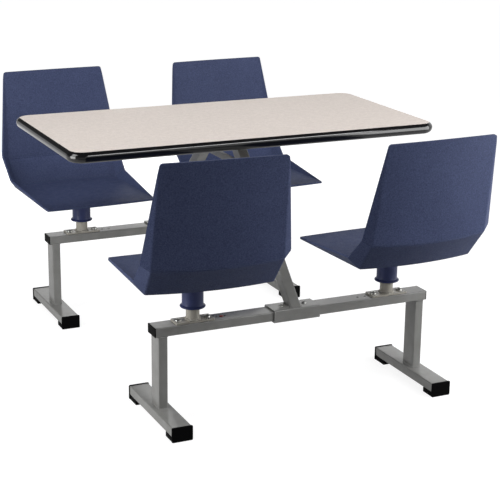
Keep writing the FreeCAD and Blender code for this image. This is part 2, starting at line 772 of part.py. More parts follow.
def seat_shell():
    places, steps = shell_points()
    inner = {name: places[name] + steps[name] for name in places}
    outer = {name: places[name] - steps[name] for name in places}
    faces = one_side_of_shell(inner) + one_side_of_shell(outer)
    for name in ("back", "front"):
        faces.append(Part.makeRuledSurface(bowed(inner, name), bowed(outer, name)))
    for end in (-1, 1):
        for here, there in (("back", "wing"), ("wing", "low_wing"), ("low_wing", "front")):
            faces.append(Part.makeRuledSurface(
                straight(mirrored(inner[here], end), mirrored(inner[there], end)),
                straight(mirrored(outer[here], end), mirrored(outer[there], end))))
    skin = Part.makeShell(faces)
    skin.sewShape()
    shape = Part.makeSolid(skin)
    if shape.Volume < 0:
        shape.reverse()
    for end in (-1, 1):
        at = {name: mirrored(places[name], end) for name in places}
        shape = shape.cut(corner_tool(at["back"], at["back_0"], at["wing"], back_corner_radius))
        shape = shape.cut(corner_tool(at["front"], at["low_wing"], at["front_0"], pan_corner_radius))
    for x, y in bracket_screw_places():
        shape = shape.cut(rod(x, y, pan_under - 1.0, pan_under + bracket_screw_bite + thread_clearance,
                              bracket_screw_radius + thread_clearance))
    return shape


# ---------------------------------------------------------------- writing the pieces
def save_frame():
    save("table_laminate", slab(core_half_x, core_half_y, core_corner, core_top, top_height))
    save("table_core", table_core())
    save("table_backer", table_backer())
    save("table_edge", edge_band())
    save("top_screws", top_screws())
    save("tie_bar", tie_bar())
    for side, row in ((-1, "front"), (1, "back")):
        save("top_rail_" + row, top_rail(side))
        save("strut_" + row, strut(side))
        save("sleeve_" + row, sleeve(side))
        save("foot_caps_" + row, foot_caps(side))
    for side, end, corner in corners:
        save("beam_" + corner, beam(end, side))
        save("leg_" + corner, leg(end, side))
        save("foot_" + corner, foot(end, side))
        save("post_" + corner, post(end, side))
    everywhere = [(end, side) for side, end, corner in corners]
    save("beam_end_plugs", Part.makeCompound([beam_end_plug(e, s) for e, s in everywhere]))
    save("thrust_washers", Part.makeCompound([thrust_washer(e, s) for e, s in everywhere]))
    save("stop_washers", Part.makeCompound([stop_washer(e, s) for e, s in everywhere]))
    save("axle_screws", Part.makeCompound([axle_screw(e, s) for e, s in everywhere]))
    save("red_plug", red_plug())
    save("sleeve_bolts", sleeve_bolts())
    save("sleeve_nuts", sleeve_nuts())
    save("plate_bolts", plate_bolts())
    save("plate_nuts", plate_nuts())


def save_seats():
    pieces = {"seat_shell": seat_shell(), "seat_bracket": bracket(), "seat_bush": bush(),
              "seat_cup": cup(), "seat_screws": bracket_screws()}
    for side, end, corner in corners:
        facing = turns[corner]
        if side > 0:
            facing = facing + 180.0
        for name, shape in pieces.items():
            placed = shape.copy()
            placed.rotate(V(0, 0, 0), V(0, 0, 1), facing)
            placed.translate(V(end * post_x, side * beam_y, 0))
            save("%s_%s" % (name, corner), placed)


corners = ((-1, -1, "front_left"), (-1, 1, "front_right"), (1, -1, "back_left"), (1, 1, "back_right"))
turns = {"front_left": turn_front_left, "front_right": turn_front_right,
         "back_left": turn_back_left, "back_right": turn_back_right}

save_frame()
save_seats()
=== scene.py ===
import math

import bmesh
import bpy
from mathutils import Matrix, Vector
from mathutils.geometry import intersect_point_line


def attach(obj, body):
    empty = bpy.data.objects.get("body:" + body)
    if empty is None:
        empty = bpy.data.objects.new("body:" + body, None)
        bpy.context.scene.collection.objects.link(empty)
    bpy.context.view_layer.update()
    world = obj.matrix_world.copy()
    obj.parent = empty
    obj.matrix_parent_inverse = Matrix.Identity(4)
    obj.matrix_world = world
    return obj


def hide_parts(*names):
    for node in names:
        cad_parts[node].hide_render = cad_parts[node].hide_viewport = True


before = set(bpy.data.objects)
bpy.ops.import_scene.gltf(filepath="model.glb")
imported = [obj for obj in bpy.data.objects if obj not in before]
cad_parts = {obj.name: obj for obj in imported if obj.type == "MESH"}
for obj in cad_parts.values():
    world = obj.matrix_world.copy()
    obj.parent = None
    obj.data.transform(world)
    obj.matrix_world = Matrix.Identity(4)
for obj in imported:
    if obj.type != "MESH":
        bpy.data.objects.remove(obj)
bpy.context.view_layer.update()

# Canteen table on a steel frame that also carries four swivel seats.
# Lengths are written in millimetres and turned to metres when a piece is placed.

MM = 0.001

# ---------------------------------------------------------------- sizes shared with the frame
TOP = {"length": 1219.0, "width": 610.0, "height": 760.0, "thickness": 32.0, "corner": 50.0, "band": 11.0}
BEAM_Y = 508.0
BEAM_TOP = 290.0
BEAM_BOTTOM = 262.0
BEAM_END = 445.5
POST_X = 321.0
LEG_X = 424.0
TUBE = (60.0, 28.0)
PLATE_TOP = 295.0
SLEEVE_TOP = 295.2
PAN_MID = 435.0
TURNS = {"front_left": -3.5, "front_right": 2.0, "back_left": 2.0, "back_right": 2.8}
CORNERS = {"front_left": (-1, -1), "front_right": (1, -1), "back_left": (-1, 1), "back_right": (1, 1)}


# ---------------------------------------------------------------- materials
def from_hex(text):
    """sRGB hex to the linear colour that the shader takes."""
    values = []
    for i in (0, 2, 4):
        c = int(text[i:i + 2], 16) / 255
        values.append(c / 12.92 if c <= 0.04045 else ((c + 0.055) / 1.055) ** 2.4)
    return (*values, 1.0)


def per_metre(size_mm):
    """Texture scale that gives features of this real size."""
    return 1000.0 / size_mm


def add(tree, kind, inputs=None, **settings):
    """Add one node with its settings; an input takes a value or a link."""
    node = tree.nodes.new(kind)
    for key, value in settings.items():
        setattr(node, key, value)
    for key, value in (inputs or {}).items():
        if isinstance(value, bpy.types.NodeSocket):
            tree.links.new(value, node.inputs[key])
        else:
            node.inputs[key].default_value = value
    return node


def start_material(name, **shader_values):
    """New material with a principled shader; gives its tree, shader and the piece's coordinates."""
    material = bpy.data.materials.new(name)
    material.use_nodes = True
    tree = material.node_tree
    tree.nodes.clear()
    shader = add(tree, "ShaderNodeBsdfPrincipled")
    for key, value in shader_values.items():
        shader.inputs[key.replace("_", " ")].default_value = value
    add(tree, "ShaderNodeOutputMaterial", {"Surface": shader.outputs["BSDF"]})
    where = add(tree, "ShaderNodeTexCoord").outputs["Object"]
    return material, tree, shader, where


def powder_coat(name, colour, lighter, shine, gloss):
    # Polyester powder coat, sprayed and baked on steel: an even colour under a clear gloss that
    # mirrors at low angles, broken by orange peel about 2.5 mm across.
    material, tree, shader, where = start_material(name, IOR=1.5, Specular_IOR_Level=shine)
    cloud = add(tree, "ShaderNodeTexNoise", {"Vector": where, "Scale": per_metre(45.0), "Detail": 3.0})
    # Pigment flakes are about 0.05 mm; they are drawn 1 mm wide so that they show at all.
    flake = add(tree, "ShaderNodeTexNoise", {"Vector": where, "Scale": per_metre(1.0), "Detail": 1.0})
    both = add(tree, "ShaderNodeMix", {0: 0.35, 2: cloud.outputs["Fac"], 3: flake.outputs["Fac"]},
               data_type="FLOAT")
    spread = add(tree, "ShaderNodeMapRange", {"Value": both.outputs[0], "From Min": 0.35, "From Max": 0.65})
    tint = add(tree, "ShaderNodeMix", {0: spread.outputs["Result"], 6: from_hex(colour),
                                       7: from_hex(lighter)}, data_type="RGBA")
    tree.links.new(tint.outputs[2], shader.inputs["Base Color"])
    peel = add(tree, "ShaderNodeTexNoise", {"Vector": where, "Scale": per_metre(2.5), "Detail": 2.0})
    rough = add(tree, "ShaderNodeMapRange", {"Value": cloud.outputs["Fac"], "From Min": 0.3,
                                             "From Max": 0.7, "To Min": gloss, "To Max": gloss + 0.1})
    tree.links.new(rough.outputs["Result"], shader.inputs["Roughness"])
    bump = add(tree, "ShaderNodeBump", {"Height": peel.outputs["Fac"], "Strength": 0.35,
                                        "Distance": 0.05 * MM})
    tree.links.new(bump.outputs["Normal"], shader.inputs["Normal"])
    return material


def moulded(name, dark, light, shine, gloss, grain_mm, grain_depth):
    # Moulded plastic: the tool's pebble grain breaks both the highlight and the colour, and slow flow
    # clouds vary it a little.
    material, tree, shader, where = start_material(name, IOR=1.5, Specular_IOR_Level=shine)
    cloud = add(tree, "ShaderNodeTexNoise", {"Vector": where, "Scale": per_metre(90.0), "Detail": 2.0})
    pebble = add(tree, "ShaderNodeTexNoise", {"Vector": where, "Scale": per_metre(grain_mm),
                                              "Detail": 2.0, "Roughness": 0.7})
    both = add(tree, "ShaderNodeMix", {0: 0.85, 2: cloud.outputs["Fac"], 3: pebble.outputs["Fac"]},
               data_type="FLOAT")
    spread = add(tree, "ShaderNodeMapRange", {"Value": both.outputs[0], "From Min": 0.35,
                                              "From Max": 0.65})
    tint = add(tree, "ShaderNodeMix", {0: spread.outputs["Result"], 6: from_hex(dark),
                                       7: from_hex(light)}, data_type="RGBA")
    tree.links.new(tint.outputs[2], shader.inputs["Base Color"])
    grain = add(tree, "ShaderNodeTexVoronoi", {"Vector": where, "Scale": per_metre(grain_mm)},
                feature="SMOOTH_F1")
    rub = add(tree, "ShaderNodeTexNoise", {"Vector": where, "Scale": per_metre(18.0), "Detail": 5.0})
    rough = add(tree, "ShaderNodeMapRange", {"Value": rub.outputs["Fac"], "From Min": 0.3,
                                             "From Max": 0.7, "To Min": gloss, "To Max": gloss + 0.12})
    tree.links.new(rough.outputs["Result"], shader.inputs["Roughness"])
    bump = add(tree, "ShaderNodeBump", {"Height": grain.outputs["Distance"], "Strength": 0.5,
                                        "Distance": grain_depth * MM})
    tree.links.new(bump.outputs["Normal"], shader.inputs["Normal"])
    return material


def pressed_laminate():
    # High-pressure decorative laminate, pressed against a satin plate: warm grey with a faint
    # speckled print under a hard clear face.
    material, tree, shader, where = start_material("laminate_high_pressure_satin", IOR=1.5)
    mottle = add(tree, "ShaderNodeTexNoise", {"Vector": where, "Scale": per_metre(14.0), "Detail": 4.0,
                                              "Roughness": 0.6})
    # The printed speckle is about 0.5 mm; 5 mm is the finest that a whole view can show.
    speck = add(tree, "ShaderNodeTexNoise", {"Vector": where, "Scale": per_metre(5.0), "Detail": 2.0})
    both = add(tree, "ShaderNodeMix", {0: 0.45, 2: mottle.outputs["Fac"], 3: speck.outputs["Fac"]},
               data_type="FLOAT")
    spread = add(tree, "ShaderNodeMapRange", {"Value": both.outputs[0], "From Min": 0.32, "From Max": 0.68})
    tint = add(tree, "ShaderNodeMix", {0: spread.outputs["Result"], 6: from_hex("C2B7AF"),
                                       7: from_hex("DCD2CB")}, data_type="RGBA")
    tree.links.new(tint.outputs[2], shader.inputs["Base Color"])
    rough = add(tree, "ShaderNodeMapRange", {"Value": mottle.outputs["Fac"], "From Min": 0.3,
                                             "From Max": 0.7, "To Min": 0.42, "To Max": 0.52})
    tree.links.new(rough.outputs["Result"], shader.inputs["Roughness"])
    bump = add(tree, "ShaderNodeBump", {"Height": speck.outputs["Fac"], "Strength": 0.3,
                                        "Distance": 0.03 * MM})
    tree.links.new(bump.outputs["Normal"], shader.inputs["Normal"])
    return material


def extruded_vinyl():
    # Black PVC edge moulding, extruded and drawn round the top: glossy, with faint die lines that
    # run along it and slow waves where it follows the board.
    material, tree, shader, where = start_material("edge_vinyl_extruded_gloss", IOR=1.53)
    level = add(tree, "ShaderNodeSeparateXYZ", {"Vector": where}).outputs["Z"]
    lines = add(tree, "ShaderNodeTexNoise", {"W": level, "Scale": per_metre(1.6), "Detail": 3.0},
                noise_dimensions="1D")
    waves = add(tree, "ShaderNodeTexNoise", {"Vector": where, "Scale": per_metre(70.0), "Detail": 1.0})
    tint = add(tree, "ShaderNodeMix", {0: lines.outputs["Fac"], 6: from_hex("08080A"),
                                       7: from_hex("121214")}, data_type="RGBA")
    tree.links.new(tint.outputs[2], shader.inputs["Base Color"])
    rough = add(tree, "ShaderNodeMapRange", {"Value": lines.outputs["Fac"], "From Min": 0.3,
                                             "From Max": 0.7, "To Min": 0.08, "To Max": 0.14})
    tree.links.new(rough.outputs["Result"], shader.inputs["Roughness"])
    fine = add(tree, "ShaderNodeBump", {"Height": lines.outputs["Fac"], "Strength": 0.25,
                                        "Distance": 0.04 * MM})
    slow = add(tree, "ShaderNodeBump", {"Height": waves.outputs["Fac"], "Strength": 0.4,
                                        "Distance": 0.5 * MM, "Normal": fine.outputs["Normal"]})
    tree.links.new(slow.outputs["Normal"], shader.inputs["Normal"])
    return material


def plated_steel(name, colour, other, gloss, grain_mm):
    # Metal with a thin plated or turned face: bright, with cloudy patches and fine tool marks.
    material, tree, shader, where = start_material(name, Metallic=1.0)
    patch = add(tree, "ShaderNodeTexNoise", {"Vector": where, "Scale": per_metre(9.0), "Detail": 3.0})
    tint = add(tree, "ShaderNodeMix", {0: patch.outputs["Fac"], 6: from_hex(colour), 7: from_hex(other)},
               data_type="RGBA")
    tree.links.new(tint.outputs[2], shader.inputs["Base Color"])
    marks = add(tree, "ShaderNodeTexNoise", {"Vector": where, "Scale": per_metre(grain_mm), "Detail": 2.0})
    rough = add(tree, "ShaderNodeMapRange", {"Value": marks.outputs["Fac"], "From Min": 0.3,
                                             "From Max": 0.7, "To Min": gloss, "To Max": gloss + 0.15})
    tree.links.new(rough.outputs["Result"], shader.inputs["Roughness"])
    bump = add(tree, "ShaderNodeBump", {"Height": marks.outputs["Fac"], "Strength": 0.3,
                                        "Distance": 0.03 * MM})
    tree.links.new(bump.outputs["Normal"], shader.inputs["Normal"])
    return material


def chip_board():
    # Particle board: pressed wood flakes 2 to 6 mm long in pale and brown patches, matt.
    material, tree, shader, where = start_material("particle_board_pressed", IOR=1.5, Roughness=0.85)
    flakes = add(tree, "ShaderNodeTexVoronoi", {"Vector": where, "Scale": per_metre(4.0)})
    parts = add(tree, "ShaderNodeSeparateColor", {"Color": flakes.outputs["Color"]})
    tint = add(tree, "ShaderNodeMix", {0: parts.outputs["Red"], 6: from_hex("8F7048"),
                                       7: from_hex("C4A67A")}, data_type="RGBA")
    tree.links.new(tint.outputs[2], shader.inputs["Base Color"])
    bump = add(tree, "ShaderNodeBump", {"Height": flakes.outputs["Distance"], "Strength": 0.6,
                                        "Distance": 0.2 * MM})
    tree.links.new(bump.outputs["Normal"], shader.inputs["Normal"])
    return material


def backing_paper():
    # Phenolic backing sheet, calendered kraft paper: plain brown, with fine fibres along X.
    material, tree, shader, where = start_material("backing_sheet_kraft", IOR=1.5)
    along = add(tree, "ShaderNodeMapping", {"Vector": where, "Scale": (0.08, 1.0, 1.0)})
    fibre = add(tree, "ShaderNodeTexNoise", {"Vector": along.outputs["Vector"], "Scale": per_metre(1.8),
                                             "Detail": 4.0})
    tint = add(tree, "ShaderNodeMix", {0: fibre.outputs["Fac"], 6: from_hex("5A4A3C"),
                                       7: from_hex("7C6A56")}, data_type="RGBA")
    tree.links.new(tint.outputs[2], shader.inputs["Base Color"])
    rough = add(tree, "ShaderNodeMapRange", {"Value": fibre.outputs["Fac"], "To Min": 0.55,
                                             "To Max": 0.75})
    tree.links.new(rough.outputs["Result"], shader.inputs["Roughness"])
    bump = add(tree, "ShaderNodeBump", {"Height": fibre.outputs["Fac"], "Strength": 0.3,
                                        "Distance": 0.05 * MM})
    tree.links.new(bump.outputs["Normal"], shader.inputs["Normal"])
    return material


LAMINATE = pressed_laminate()
EDGE = extruded_vinyl()
FRAME = powder_coat("frame_powder_coat_silver", "767673", "828280", 0.6, 0.12)
STUB = powder_coat("post_powder_coat_silver", "9C988F", "AAA69C", 0.36, 0.2)
SEAT = moulded("seat_polyester_press_moulded", "353C56", "464E6C", 0.06, 0.45, 3.6, 0.2)
CUP = powder_coat("cup_powder_coat_navy", "2F3657", "394066", 0.2, 0.3)
BRACKET = powder_coat("bracket_powder_coat_dark", "232428", "303136", 0.3, 0.42)
BLACK = moulded("cap_polyethylene_moulded", "050506", "0A0A0B", 0.03, 0.5, 2.4, 0.08)
RED = moulded("plug_nylon_red_moulded", "7C1418", "981C20", 0.3, 0.4, 1.0, 0.04)
ZINC = plated_steel("fastener_steel_zinc_plated", "9DA0A4", "C6C4BA", 0.26, 0.8)
BRONZE = plated_steel("washer_bronze_turned", "7A4E2A", "9A6A3C", 0.3, 0.5)
BOARD = chip_board()
BACKING = backing_paper()


# ---------------------------------------------------------------- making pieces
def fresh_edges(mesh, before):
    """Edges made since `before` was noted."""
    return [edge for edge in mesh.edges if edge not in before]


def make_piece(name, mesh, material, body="frame", stands_for=(), crease=35.0):
    """Turn a finished bmesh, in millimetres, into a piece that rides on its body."""
    bmesh.ops.scale(mesh, vec=(MM, MM, MM), verts=mesh.verts)
    for face in mesh.faces:
        face.smooth = True
    for edge in mesh.edges:
        edge.smooth = not edge.is_manifold or edge.calc_face_angle() < math.radians(crease)
    data = bpy.data.meshes.new(name)
    mesh.to_mesh(data)
    mesh.free()
    data.materials.append(material)
    made = bpy.data.objects.new(name, data)
    bpy.context.collection.objects.link(made)
    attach(made, body)
    if stands_for:
        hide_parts(*stands_for)
    return made


def soft_edges(made, width_mm, angle=40.0, segments=2):
    """Worn or rolled edges, as a bevel with clean highlights."""
    bevel = made.modifiers.new("eased_edges", "BEVEL")
    bevel.width = width_mm * MM
    bevel.segments = segments
    bevel.limit_method = "ANGLE"
    bevel.angle_limit = math.radians(angle)
    bevel.harden_normals = True


def spun(profile, steps):
    """Closed turned shape from (radius, height) points that start and end on the axis, or a ring."""
    mesh = bmesh.new()
    points = [mesh.verts.new((r, 0.0, z)) for r, z in profile]
    for here, there in zip(points, points[1:]):
        mesh.edges.new((here, there))
    if profile[0][0] > 0:
        mesh.edges.new((points[-1], points[0]))
    bmesh.ops.spin(mesh, geom=mesh.verts[:] + mesh.edges[:], cent=(0, 0, 0), axis=(0, 0, 1),
                   angle=math.tau, steps=steps, use_merge=True)
    bmesh.ops.remove_doubles(mesh, verts=mesh.verts, dist=0.001)
    bmesh.ops.recalc_face_normals(mesh, faces=mesh.faces)
    return mesh


def brick(mesh, low, high, corner=0.0, along=None, segments=4):
    """Block between two corners; edges that run along one axis may be rounded."""
    size = [b - a for a, b in zip(low, high)]
    middle = [(a + b) / 2 for a, b in zip(low, high)]
    place = Matrix.Translation(middle) @ Matrix.Diagonal((*size, 1.0))
    verts = bmesh.ops.create_cube(mesh, size=1.0, matrix=place)["verts"]
    if corner:
        edges = {edge for vert in verts for edge in vert.link_edges}
        run = [e for e in edges if abs((e.verts[1].co - e.verts[0].co).normalized()[along]) > 0.99]
        bmesh.ops.bevel(mesh, geom=run, offset=corner, offset_type="OFFSET", segments=segments,
                        profile=0.5, affect="EDGES", material=-1)


def put_copies(source, places):
    """One mesh that holds a copy of the source at each place."""
    whole = bmesh.new()
    holder = bpy.data.meshes.new("holder")
    for place in places:
        one = source.copy()
        bmesh.ops.transform(one, matrix=place, verts=one.verts)
        one.to_mesh(holder)
        one.free()
        whole.from_mesh(holder)
    source.free()
    bpy.data.meshes.remove(holder)
    return whole


def joined_copy(node):
    """A node's solid in millimetres as one joined mesh with its flat faces whole."""
    mesh = bmesh.new()
    mesh.from_mesh(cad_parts[node].data)
    bmesh.ops.scale(mesh, vec=(1 / MM, 1 / MM, 1 / MM), verts=mesh.verts)
    bmesh.ops.remove_doubles(mesh, verts=mesh.verts, dist=0.005)
    bmesh.ops.dissolve_limit(mesh, angle_limit=math.radians(0.2), verts=mesh.verts, edges=mesh.edges,
                             use_dissolve_boundaries=False)
    return mesh


def eased_copy(node, material, body="frame", width=0.6):
    """The node itself with rounded corners that shade smoothly and eased sharp edges."""
    made = make_piece(node + "_finished", joined_copy(node), material, body, (node,))
    soft_edges(made, width)


# ---------------------------------------------------------------- seat shell
SHELL_THICKNESS = 6.0
BACK_CORNER_RADIUS = 11.0
PAN_CORNER_RADIUS = 5.0
CORNER_STEPS = 7       # flats round each corner of the outline
FOLD_OFFSET = 2.5      # half the width of a fold
CRIMP_DEPTH = 1.4      # groove outside and ridge inside, along the level folds
SHELL_ROWS = {   # half width, y, z, bow of the middle in y, dip of the middle in z
    "back": (181.0, -264.5, PAN_MID + 388.2, -3.1, 0.0),
    "lumbar": (191.4, -215.6, PAN_MID + 86.8, -24.4, -4.8),
    "heel": (187.4, -148.2, PAN_MID, -21.6, 0.0),
    "front": (192.3, 209.4, PAN_MID, 5.7, 0.0)}
WING = Vector((216.4, -199.0, PAN_MID + 102.5))
LOW_WING = Vector((212.2, -121.3, PAN_MID + 30.8))


def fold_row(mesh, half, y, z, bow, dip):
    """Row of vertices from the left corner to the right one, bowed about its middle."""
    before = set(mesh.edges)
    line = mesh.edges.new((mesh.verts.new((-half, y, z)), mesh.verts.new((half, y, z))))
    bmesh.ops.subdivide_edges(mesh, edges=[line], cuts=19)
    row = fresh_edges(mesh, before)
    for vert in {vert for edge in row for vert in edge.verts}:
        share = 1.0 - (vert.co.x / half) ** 2
        vert.co.y += bow * share
        vert.co.z += dip * share
    return row


def row_end(row, side):
    return max((vert for edge in row for vert in edge.verts), key=lambda vert: side * vert.co.x)


def trim_corner(mesh, corner, one, other, radius):
    """Round a corner of the outline with planes that touch its arc."""
    u = (one - corner).normalized()
    w = (other - corner).normalized()
    spread = u.angle(w)
    centre = corner + (u + w).normalized() * (radius / math.sin(spread / 2))
    first = corner + u * (radius / math.tan(spread / 2)) - centre
    second = corner + w * (radius / math.tan(spread / 2)) - centre
    turn = first.angle(second)
    axis = first.cross(second).normalized()
    for i in range(1, CORNER_STEPS):
        out = Matrix.Rotation(turn * i / CORNER_STEPS, 3, axis) @ first
        near = [face for face in mesh.faces
                if min((vert.co - corner).length for vert in face.verts) < 3.0 * radius]
        parts = {part for face in near for part in (face, *face.verts, *face.edges)}
        bmesh.ops.bisect_plane(mesh, geom=list(parts), plane_co=centre + out, plane_no=out,
                               clear_outer=True)


def crimp(mesh, strips, lines):
    """Press the middle of the level folds towards the sitter, as the mould does."""
    mesh.normal_update()
    sitter = Vector((0, 0, PAN_MID + 250))
    for vert in mesh.verts:
        near = [start for start, end in lines
                if (intersect_point_line(vert.co, start, end)[0] - vert.co).length < 1.0
                and (start - vert.co).length + (end - vert.co).length < (end - start).length + 1.0]
        if near and all(face in strips for face in vert.link_faces):
            way = 1 if vert.normal.dot(sitter - vert.co) > 0 else -1
            vert.co += vert.normal * (way * CRIMP_DEPTH)


def shell_surface():
    """Middle surface of the folded shell, facing +Y about the post axis."""
    mesh = bmesh.new()
    rows = {name: fold_row(mesh, *values) for name, values in SHELL_ROWS.items()}
    names = list(rows)
    for here, there in zip(names, names[1:]):
        bmesh.ops.bridge_loops(mesh, edges=rows[here] + rows[there])
    lines = [[vert.co.copy() for vert in edge.verts] for edge in rows["lumbar"] + rows["heel"]]
    for side in (-1, 1):
        flip = Vector((side, 1, 1))
        back, lumbar, heel, front = [row_end(rows[name], side) for name in names]
        wing = mesh.verts.new(WING * flip)
        low_wing = mesh.verts.new(LOW_WING * flip)
        mesh.faces.new((back, lumbar, wing))
        mesh.faces.new((lumbar, heel, low_wing, wing))
        mesh.faces.new((heel, front, low_wing))
        lines += [[lumbar.co.copy(), wing.co.copy()], [heel.co.copy(), low_wing.co.copy()]]
    bmesh.ops.recalc_face_normals(mesh, faces=mesh.faces)
    folds = [edge for edge in mesh.edges
             if edge.is_manifold and edge.calc_face_angle() > math.radians(5.0)]
    strips = bmesh.ops.bevel(mesh, geom=folds, offset=FOLD_OFFSET, offset_type="OFFSET", segments=2,
                             profile=0.5, affect="EDGES", material=-1, clamp_overlap=True)["faces"]
    crimp(mesh, set(strips), lines)
    half, y, z, bow = SHELL_ROWS["back"][:4]
    front_half, front_y, front_z, front_bow = SHELL_ROWS["front"][:4]
    for side in (-1, 1):
        flip = Vector((side, 1, 1))
        trim_corner(mesh, Vector((half, y, z)) * flip, Vector((0, y + bow, z)), WING * flip,
                    BACK_CORNER_RADIUS)
        trim_corner(mesh, Vector((front_half, front_y, front_z)) * flip,
                    Vector((0, front_y + front_bow, front_z)), LOW_WING * flip, PAN_CORNER_RADIUS)
    bmesh.ops.remove_doubles(mesh, verts=mesh.verts, dist=0.02)
    return mesh


def seat_place(corner):
    end, side = CORNERS[corner]
    facing = math.radians(TURNS[corner] + (180.0 if side > 0 else 0.0))
    return Matrix.Translation((end * POST_X, side * BEAM_Y, 0)) @ Matrix.Rotation(facing, 4, "Z")


def make_shells():
    surface = shell_surface()
    for corner in CORNERS:
        one = surface.copy()
        bmesh.ops.transform(one, matrix=seat_place(corner), verts=one.verts)
        shell = make_piece("shell_" + corner, one, SEAT, "seat_" + corner,
                           ("seat_shell_" + corner,), 8.0)
        wall = shell.modifiers.new("wall", "SOLIDIFY")
        wall.thickness = SHELL_THICKNESS * MM
        wall.offset = 0.0
        wall.use_even_offset = True
        soft_edges(shell, 2.0, 55.0, 3)
    surface.free()


# ---------------------------------------------------------------- seat cup
def make_cups():
    low, high, r = 332.1, 427.0, 31.5
    profile = [(r - 2, low), (r + 2.2, low), (r + 4.6, low + 0.5), (r + 6.0, low + 2.2),
               (r + 6.0, low + 3.8), (r + 4.6, low + 5.5), (r + 2.2, low + 6.2), (r + 0.5, low + 7.4),
               (r, low + 9.5), (r, high - 6), (r + 0.8, high - 4), (r + 3, high - 3.2),
               (r + 7.6, high - 3), (r + 8.5, high - 2.2), (r + 8.5, high), (r - 2, high)]
    for corner in CORNERS:
        cup = spun(profile, 72)
        bmesh.ops.transform(cup, matrix=seat_place(corner), verts=cup.verts)
        make_piece("cup_" + corner, cup, CUP, "seat_" + corner,
                   ("seat_cup_" + corner,), 50.0)


# ---------------------------------------------------------------- edge moulding
def make_edge_band():
    """Rounded moulding swept round the top: a turn at each corner and a straight run after it."""
    reach_x = TOP["length"] / 2 - TOP["corner"]
    reach_y = TOP["width"] / 2 - TOP["corner"]
    half, depth = TOP["thickness"] / 2, TOP["band"]
    radius = (half ** 2 + depth ** 2) / (2 * depth)
    mesh = bmesh.new()
    bmesh.ops.create_circle(mesh, segments=64, radius=radius)
    bmesh.ops.bisect_plane(mesh, geom=mesh.verts[:] + mesh.edges[:], plane_co=(radius - depth, 0, 0),
                           plane_no=(1, 0, 0), clear_inner=True)
    tips = [vert for vert in mesh.verts if len(vert.link_edges) == 1]
    mesh.edges.new(tips)
    upright = Matrix(((1, 0, 0, TOP["length"] / 2 - radius), (0, 0, 1, reach_y),
                      (0, 1, 0, TOP["height"] - half), (0, 0, 0, 1)))
    bmesh.ops.transform(mesh, matrix=upright, verts=mesh.verts)
    centres = [(reach_x, reach_y), (-reach_x, reach_y), (-reach_x, -reach_y), (reach_x, -reach_y)]
    last = mesh.verts[:] + mesh.edges[:]
    for i, here in enumerate(centres):
        turned = bmesh.ops.spin(mesh, geom=last, cent=(*here, 0), axis=(0, 0, 1), angle=math.pi / 2,
                                steps=14)["geom_last"]
        edges = [part for part in turned if isinstance(part, bmesh.types.BMEdge)]
        run = bmesh.ops.extrude_edge_only(mesh, edges=edges)["geom"]
        last = [part for part in run if not isinstance(part, bmesh.types.BMFace)]
        there = centres[(i + 1) % 4]
        bmesh.ops.translate(mesh, vec=(there[0] - here[0], there[1] - here[1], 0),
                            verts=[part for part in last if isinstance(part, bmesh.types.BMVert)])
    bmesh.ops.remove_doubles(mesh, verts=mesh.verts, dist=0.01)
    bmesh.ops.recalc_face_normals(mesh, faces=mesh.faces)
    make_piece("edge_moulding", mesh, EDGE, "frame", ("table_edge",), 60.0)


# ---------------------------------------------------------------- fasteners
def headed(radius, height, shank, length):
    """Domed bolt with a hexagon socket; the seat of the head is at zero."""
    r, h = radius, height
    point = 0.8     # chamfer at the end of the shank
    profile = [(0, -length), (shank - point, -length), (shank, -length + point), (shank, 0), (r, 0),
               (r, 0.42 * h), (0.94 * r, 0.66 * h), (0.8 * r, 0.86 * h), (0.62 * r, 0.98 * h),
               (0.5 * r, h), (0.46 * r, 0.42 * h), (0, 0.42 * h)]
    bolt = spun(profile, 24)
    for vert in bolt.verts:
        flat = Vector((vert.co.x, vert.co.y, 0))
        if vert.co.z > 0.3 * h and 0.4 * r < flat.length < 0.55 * r:
            sixth = math.atan2(flat.y, flat.x) % (math.pi / 3)
            share = math.cos(math.pi / 6) / math.cos(sixth - math.pi / 6)
            vert.co.x *= share
            vert.co.y *= share
    return bolt


def make_fasteners():
    plate_bolt_x, sleeve_bolt_x = 45.0, 38.0      # from the post and from the middle
    places = [Matrix.Translation((end * POST_X + x, side * BEAM_Y, PLATE_TOP))
              for end, side in CORNERS.values() for x in (-plate_bolt_x, plate_bolt_x)]
    bolts = put_copies(headed(10.0, 5.0, 5.0, 37.0), places)
    make_piece("post_bolts", bolts, ZINC, "frame", ("plate_bolts",))
    places = [Matrix.Translation((x, side * BEAM_Y, SLEEVE_TOP))
              for side in (-1, 1) for x in (-sleeve_bolt_x, sleeve_bolt_x)]
    bolts = put_copies(headed(7.0, 4.5, 4.0, 37.4), places)
    make_piece("clamp_bolts", bolts, ZINC, "frame", ("sleeve_bolts",))


# ---------------------------------------------------------------- black mouldings
def make_foot_caps():
    """End plate to the floor, sole under the tube, tongue inside it."""
    wide = TUBE[0] / 2
    tip, seat, sole_end, tongue_end = -176, -171, -120, -149
    inside = seat - 0.2     # sole and tongue run a little into the plate
    for row, side in (("front", -1), ("back", 1)):
        cap = bmesh.new()
        brick(cap, (-wide - 2, tip, 0), (wide + 2, seat, 45), 4.0, 1)
        brick(cap, (-wide + 0.5, inside, 0), (wide - 0.5, sole_end, 15), 1.5, 2, 3)
        brick(cap, (-wide + 2.7, inside, 17.7), (wide - 2.7, tongue_end, 40.3), 1.0, 1, 2)
        places = [Matrix.Translation((end * LEG_X, side * BEAM_Y, 0)) @ Matrix.Rotation(turn, 4, "Z")
                  for end in (-1, 1) for turn in (0.0, math.pi)]
        caps = make_piece("foot_end_caps_" + row, put_copies(cap, places), BLACK,
                          "frame", ("foot_caps_" + row,))
        soft_edges(caps, 1.2, 50.0, 3)


